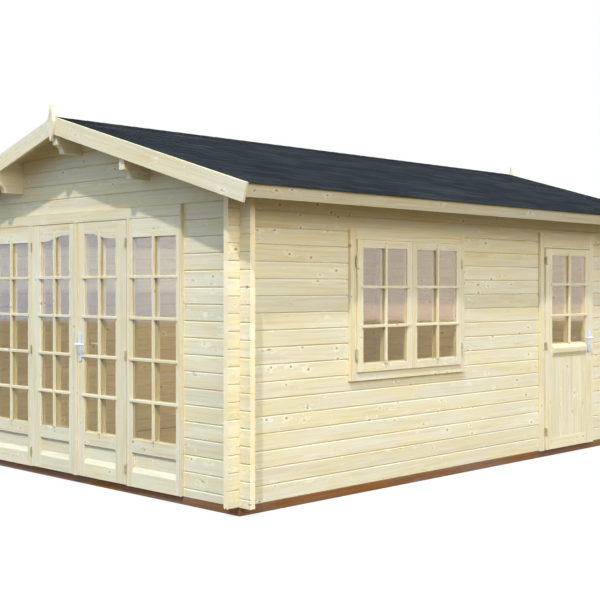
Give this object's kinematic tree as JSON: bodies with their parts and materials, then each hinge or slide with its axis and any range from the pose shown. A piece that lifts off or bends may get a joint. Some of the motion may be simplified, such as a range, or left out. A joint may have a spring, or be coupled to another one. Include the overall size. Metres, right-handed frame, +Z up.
{
  "type": "garden house",
  "caption": "Log garden house with a shingled gable roof, glazed double front doors between sidelights, a side window and a half-glazed side door.",
  "frame": {"origin": "under the middle of the house, on the underside of the foundation beams", "axes": "+Z up, -Y is the front with the double doors, +X is the wall with the window and the side door"},
  "size_m": [4.26, 6.0506, 2.8422],
  "materials": {
    "spruce": "planed, untreated",
    "treated_timber": "brown impregnated",
    "shingle": "bitumen with mineral granules",
    "glass": "clear float",
    "hinge_metal": "dull plated",
    "handle_metal": "satin"
  },
  "bodies": {
    "root": {"floor_boards": "spruce", "front_wall_left": "spruce", "front_wall_right": "spruce", "front_gable": "spruce", "rear_wall": "spruce", "rear_gable": "spruce", "left_wall": "spruce", "right_wall_lower": "spruce", "right_wall_front": "spruce", "right_wall_middle": "spruce", "right_wall_rear": "spruce", "right_wall_top": "spruce", "ridge_purlin": "spruce", "slope_purlins": "spruce", "left_roof_boards": "spruce", "right_roof_boards": "spruce", "front_barge_boards": "spruce", "rear_barge_boards": "spruce", "finials": "spruce", "eave_boards": "spruce", "front_door_frame": "spruce", "sidelights": "spruce", "window_frame": "spruce", "window_sashes": "spruce", "side_door_frame": "spruce", "foundation_beams": "treated_timber", "floor_joists": "treated_timber", "left_shingles": "shingle", "right_shingles": "shingle", "sidelight_glass": "glass", "window_glass": "glass", "hinge_pins": "hinge_metal"},
    "front_left_door": {"front_left_leaf": "spruce", "front_left_glass": "glass", "front_left_hinges": "hinge_metal"},
    "front_right_door": {"front_right_leaf": "spruce", "front_right_glass": "glass", "front_right_hinges": "hinge_metal", "front_back_plates": "handle_metal"},
    "side_door": {"side_leaf": "spruce", "side_glass": "glass", "side_hinges": "hinge_metal", "side_back_plates": "handle_metal"},
    "front_lever": {"front_lever": "handle_metal"},
    "side_lever": {"side_lever": "handle_metal"}
  },
  "joints": [
    {"name": "front_left_swing", "type": "hinge", "parent": "root", "child": "front_left_door", "pos_m": [-0.6225, -2.8005, 0.998], "axis": [0, 0, -1], "range_deg": [0, 110]},
    {"name": "front_right_swing", "type": "hinge", "parent": "root", "child": "front_right_door", "pos_m": [0.6225, -2.8005, 0.998], "axis": [0, 0, 1], "range_deg": [0, 110]},
    {"name": "side_swing", "type": "hinge", "parent": "root", "child": "side_door", "pos_m": [1.8485, 0.8145, 0.958], "axis": [0, 0, -1], "range_deg": [0, 110]},
    {"name": "front_lever_turn", "type": "hinge", "parent": "front_right_door", "child": "front_lever", "pos_m": [0.057, -2.792, 1.057], "axis": [0, 1, 0], "range_deg": [0, 40], "stiffness_Nm_per_rad": 0.6, "springref_deg": -28.65},
    {"name": "side_lever_turn", "type": "hinge", "parent": "side_door", "child": "side_lever", "pos_m": [1.84, 1.529, 1.025], "axis": [1, 0, 0], "range_deg": [0, 40], "stiffness_Nm_per_rad": 0.6, "springref_deg": -28.65}
  ]
}
